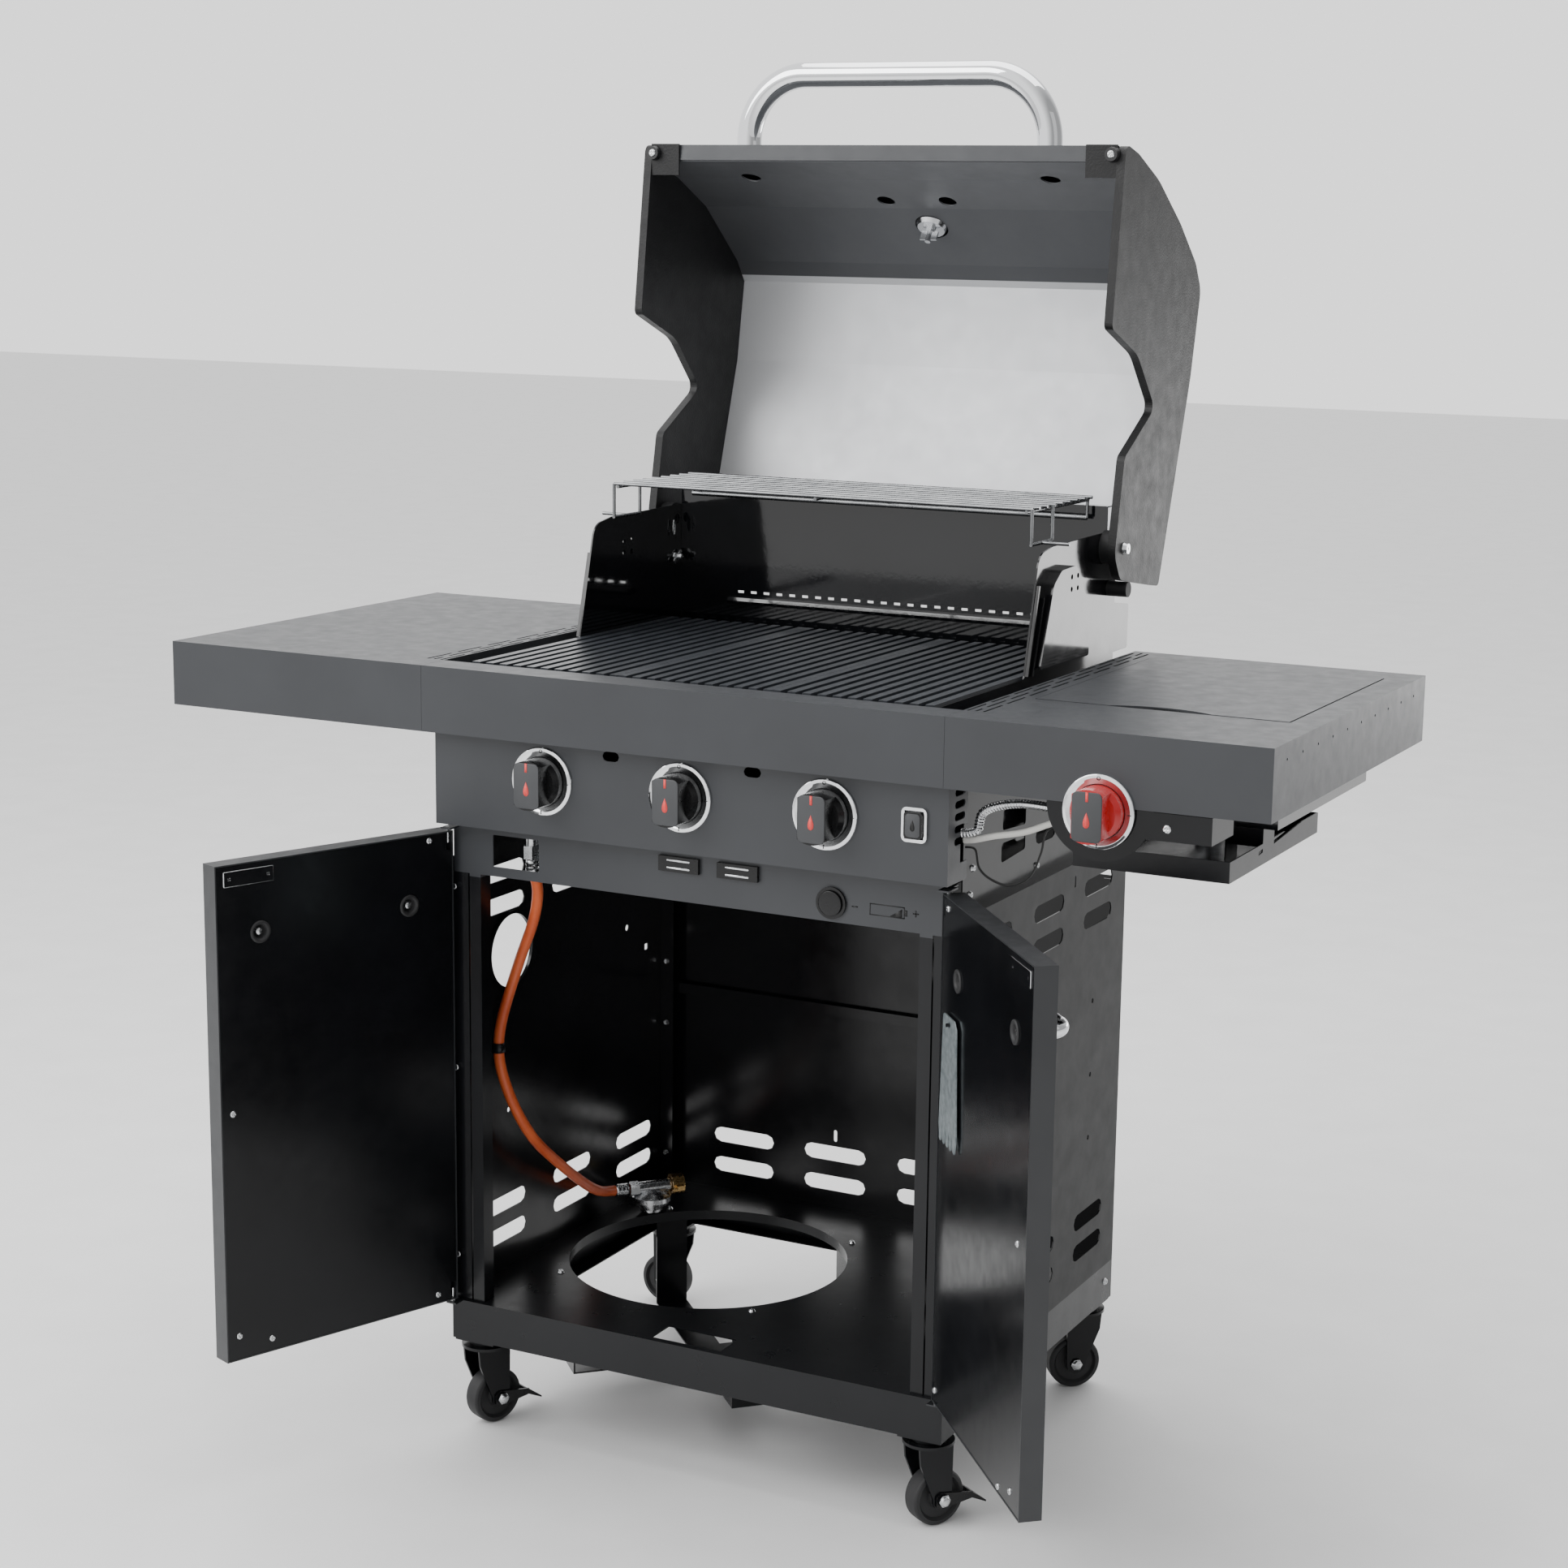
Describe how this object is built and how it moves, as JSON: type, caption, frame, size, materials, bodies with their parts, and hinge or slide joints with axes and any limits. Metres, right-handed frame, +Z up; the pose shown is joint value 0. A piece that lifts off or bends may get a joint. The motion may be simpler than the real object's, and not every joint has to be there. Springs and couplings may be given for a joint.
{
  "type": "gas barbecue grill",
  "caption": "Gas barbecue on a caster cart, with a lift-up lid, a pair of swing doors, side shelves and a side burner.",
  "frame": {"origin": "on the ground, in the middle of the open barbecue's bounding box", "axes": "+X to the cook's right, +Y to the back of the barbecue, +Z up"},
  "size_m": [1.336, 0.9848, 1.591],
  "materials": {
    "paint": "satin powder coat",
    "gloss_black": "gloss",
    "black_plastic": "fine texture",
    "chrome": "polished",
    "enamel": "vitreous gloss",
    "porcelain": "matt enamel",
    "steel": "satin",
    "zinc": "zinc plated",
    "cap_paint": "fine texture",
    "rubber": "matt",
    "wheel_rubber": "matt",
    "red_plastic": "gloss",
    "hose_rubber": "satin",
    "brass": "machined"
  },
  "bodies": {
    "cart": {"base_pan": "paint", "bottle_straps": "gloss_black", "side_panel_left": "paint", "side_panel_right": "paint", "back_panel": "paint", "front_frame": "gloss_black", "cabinet_clips": "black_plastic", "shelf_left": "paint", "shelf_right": "paint", "console_fascia": "paint", "control_panel": "paint", "panel_bezels": "chrome", "firebox_side_left": "enamel", "firebox_side_right": "enamel", "firebox_walls": "enamel", "burners": "steel", "gas_manifold": "zinc", "heat_emitters": "steel", "cooking_grates": "porcelain", "warming_rack": "chrome", "side_burner_bowl": "enamel", "side_burner": "steel", "side_burner_brackets": "gloss_black", "side_burner_lines": "zinc", "lid_hinge_bosses": "rubber", "cart_fasteners": "zinc", "gas_hose": "hose_rubber", "regulator_body": "zinc", "regulator_nut": "brass"},
    "lid": {"lid_shell": "paint", "lid_liner": "steel", "lid_cap_left": "cap_paint", "lid_cap_right": "cap_paint", "lid_handle": "chrome", "lid_fittings": "chrome"},
    "door_left": {"door_left_shell": "paint", "door_left_liner": "gloss_black", "door_left_handle": "chrome"},
    "door_right": {"door_right_shell": "paint", "door_right_liner": "gloss_black", "door_right_handle": "chrome", "scraper_tool": "steel"},
    "knob_left": {"knob_left": "black_plastic"},
    "knob_middle": {"knob_middle": "black_plastic"},
    "knob_right": {"knob_right": "black_plastic"},
    "knob_side": {"knob_side": "red_plastic"},
    "igniter_button": {"igniter_button": "black_plastic"},
    "battery_cap": {"battery_cap": "black_plastic"},
    "grease_tray": {"grease_tray": "steel"},
    "side_burner_lid": {"side_burner_lid": "paint"},
    "fork_front_left": {"fork_front_left": "gloss_black"},
    "wheel_front_left": {"wheel_front_left": "wheel_rubber"},
    "fork_front_right": {"fork_front_right": "gloss_black"},
    "wheel_front_right": {"wheel_front_right": "wheel_rubber"},
    "fork_rear_left": {"fork_rear_left": "gloss_black"},
    "wheel_rear_left": {"wheel_rear_left": "wheel_rubber"},
    "fork_rear_right": {"fork_rear_right": "gloss_black"},
    "wheel_rear_right": {"wheel_rear_right": "wheel_rubber"},
    "brake_front_left": {"brake_front_left": "black_plastic"},
    "brake_front_right": {"brake_front_right": "black_plastic"}
  },
  "joints": [
    {"name": "lid_hinge", "type": "hinge", "parent": "cart", "child": "lid", "pos_m": [0, 0.26533, 1.037], "axis": [1, 0, 0], "range_deg": [0, 100]},
    {"name": "door_left_hinge", "type": "hinge", "parent": "cart", "child": "door_left", "pos_m": [-0.312, -0.20867, 0.44], "axis": [0, 0, 1], "range_deg": [-24, 111]},
    {"name": "door_right_hinge", "type": "hinge", "parent": "cart", "child": "door_right", "pos_m": [0.312, -0.20867, 0.44], "axis": [0, 0, 1], "range_deg": [-131, 4]},
    {"name": "knob_left_turn", "type": "hinge", "parent": "cart", "child": "knob_left", "pos_m": [-0.175, -0.22367, 0.7935], "axis": [0, -1, 0], "range_deg": [0, 240]},
    {"name": "knob_middle_turn", "type": "hinge", "parent": "cart", "child": "knob_middle", "pos_m": [0, -0.22367, 0.7935], "axis": [0, -1, 0], "range_deg": [0, 240]},
    {"name": "knob_right_turn", "type": "hinge", "parent": "cart", "child": "knob_right", "pos_m": [0.175, -0.22367, 0.7935], "axis": [0, -1, 0], "range_deg": [0, 240]},
    {"name": "knob_side_turn", "type": "hinge", "parent": "cart", "child": "knob_side", "pos_m": [0.49, -0.24567, 0.8335], "axis": [0, -1, 0], "range_deg": [0, 240]},
    {"name": "igniter_press", "type": "slide", "parent": "cart", "child": "igniter_button", "axis": [0, 1, 0], "range_m": [0, 0.004], "stiffness_N_per_m": 400, "springref_m": -0.002},
    {"name": "battery_cap_turn", "type": "hinge", "parent": "cart", "child": "battery_cap", "pos_m": [0.171, -0.19767, 0.6925], "axis": [0, -1, 0], "range_deg": [0, 90]},
    {"name": "grease_tray_slide", "type": "slide", "parent": "cart", "child": "grease_tray", "axis": [0, 1, 0], "range_m": [0, 0.3]},
    {"name": "side_burner_lid_hinge", "type": "hinge", "parent": "cart", "child": "side_burner_lid", "pos_m": [0.495, 0.24183, 0.9144], "axis": [-1, 0, 0], "range_deg": [0, 95]},
    {"name": "fork_front_left_swivel", "type": "hinge", "parent": "cart", "child": "fork_front_left", "pos_m": [-0.288, -0.17467, 0.1], "axis": [0, 0, 1], "continuous": true},
    {"name": "wheel_front_left_roll", "type": "hinge", "parent": "fork_front_left", "child": "wheel_front_left", "pos_m": [-0.28463, -0.16633, 0.0325], "axis": [-0.9272, 0.3746, 0], "continuous": true},
    {"name": "brake_front_left_press", "type": "hinge", "parent": "fork_front_left", "child": "brake_front_left", "pos_m": [-0.28463, -0.16633, 0.0325], "axis": [-0.9272, 0.3746, 0], "range_deg": [0, 10]},
    {"name": "fork_front_right_swivel", "type": "hinge", "parent": "cart", "child": "fork_front_right", "pos_m": [0.288, -0.17467, 0.1], "axis": [0, 0, 1], "continuous": true},
    {"name": "wheel_front_right_roll", "type": "hinge", "parent": "fork_front_right", "child": "wheel_front_right", "pos_m": [0.29277, -0.16704, 0.0325], "axis": [-0.848, 0.5299, 0], "continuous": true},
    {"name": "brake_front_right_press", "type": "hinge", "parent": "fork_front_right", "child": "brake_front_right", "pos_m": [0.29277, -0.16704, 0.0325], "axis": [-0.848, 0.5299, 0], "range_deg": [0, 10]},
    {"name": "fork_rear_left_swivel", "type": "hinge", "parent": "cart", "child": "fork_rear_left", "pos_m": [-0.288, 0.26933, 0.1], "axis": [0, 0, 1], "continuous": true},
    {"name": "wheel_rear_left_roll", "type": "hinge", "parent": "fork_rear_left", "child": "wheel_rear_left", "pos_m": [-0.297, 0.26901, 0.0325], "axis": [0.0349, -0.9994, 0], "continuous": true},
    {"name": "fork_rear_right_swivel", "type": "hinge", "parent": "cart", "child": "fork_rear_right", "pos_m": [0.288, 0.26933, 0.1], "axis": [0, 0, 1], "continuous": true},
    {"name": "wheel_rear_right_roll", "type": "hinge", "parent": "fork_rear_right", "child": "wheel_rear_right", "pos_m": [0.28111, 0.26354, 0.0325], "axis": [0.6428, -0.766, 0], "continuous": true}
  ]
}
